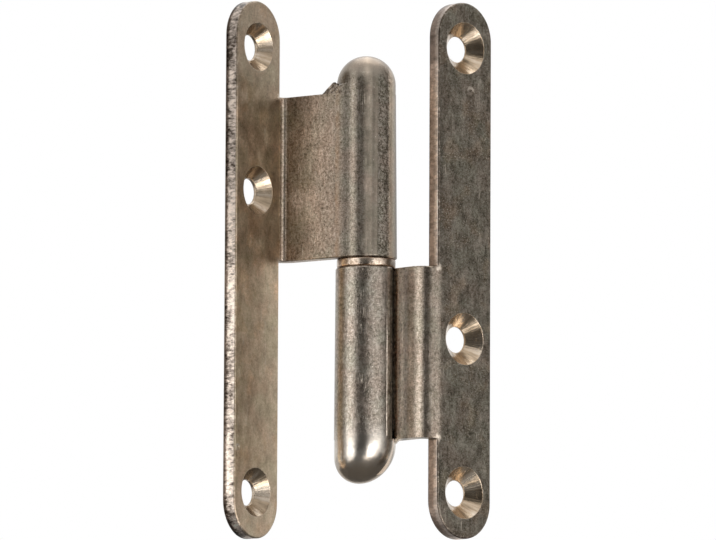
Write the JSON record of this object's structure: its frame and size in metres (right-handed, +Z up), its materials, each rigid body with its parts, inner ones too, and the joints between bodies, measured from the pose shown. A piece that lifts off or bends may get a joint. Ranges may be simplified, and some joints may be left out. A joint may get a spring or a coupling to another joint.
{
  "type": "lift off hinge",
  "caption": "Lift off door hinge with round ended strip leaves, bent tabs and rolled knuckles with domed ends that turn on a fixed pin over a bearing ring.",
  "frame": {"origin": "midway between the frame leaf's end screw holes, on the face that lies against the door frame", "axes": "+Z up along the pin, +Y out of the frame leaf's mounting face into the frame, +X along the frame leaf's strip away from the knuckle"},
  "size_m": [0.0484, 0.031, 0.1104],
  "materials": {
    "plated_steel": "plated sheet steel, tarnished and finely pitted, with polished domes",
    "pin_steel": "drawn steel rod, lightly oiled",
    "ring_bronze": "turned bronze, dulled"
  },
  "bodies": {
    "frame_half": {"frame_leaf": "plated_steel", "hinge_pin": "pin_steel"},
    "ring": {"bearing_ring": "ring_bronze"},
    "door_half": {"door_leaf": "plated_steel"}
  },
  "joints": [
    {"name": "door_swing", "type": "hinge", "parent": "frame_half", "child": "ring", "pos_m": [-0.01499, 0.0104, 0], "axis": [0, 0, 1], "range_deg": [-140, 168.5]},
    {"name": "lift_off", "type": "slide", "parent": "ring", "child": "door_half", "axis": [0, 0, 1], "range_m": [0, 0.032]}
  ]
}
